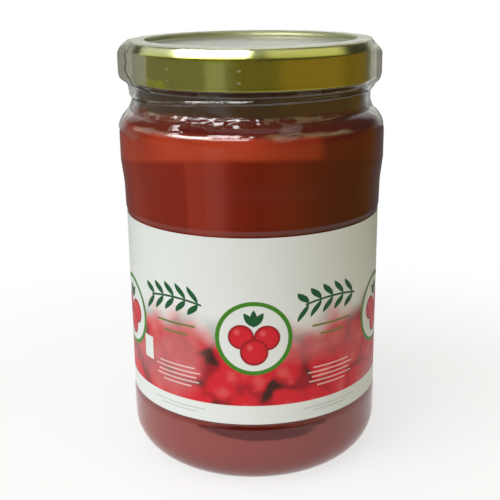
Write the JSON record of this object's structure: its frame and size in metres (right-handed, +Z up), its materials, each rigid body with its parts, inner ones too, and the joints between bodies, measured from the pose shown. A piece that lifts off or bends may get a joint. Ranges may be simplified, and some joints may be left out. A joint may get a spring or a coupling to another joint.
{
  "type": "jar of tomato paste",
  "caption": "Round clear glass jar of tomato paste with a twist-off metal cap, a wrap-round paper label and a clear shrink band over cap and neck.",
  "frame": {"origin": "centre of the flat ring that the jar stands on", "axes": "+Z up along the jar's axis; -Y is the side where the printed panel between two emblems meets the front emblem; the label's glued lap is at +Y, and the shrink band's folded creases are at -X and +X"},
  "size_m": [0.0898, 0.0898, 0.1449],
  "materials": {
    "jar_glass": "clear moulded flint glass, smooth",
    "paste": "thick moist tomato paste",
    "cap_metal": "gold lacquered tinplate, bright",
    "label_paper": "printed coated paper, semi-gloss",
    "clear_film": "thin clear shrink film, glossy and creased"
  },
  "bodies": {
    "root": {"glass_jar": "jar_glass", "tomato_paste": "paste", "cap": "cap_metal", "label": "label_paper", "shrink_band": "clear_film"}
  },
  "joints": []
}
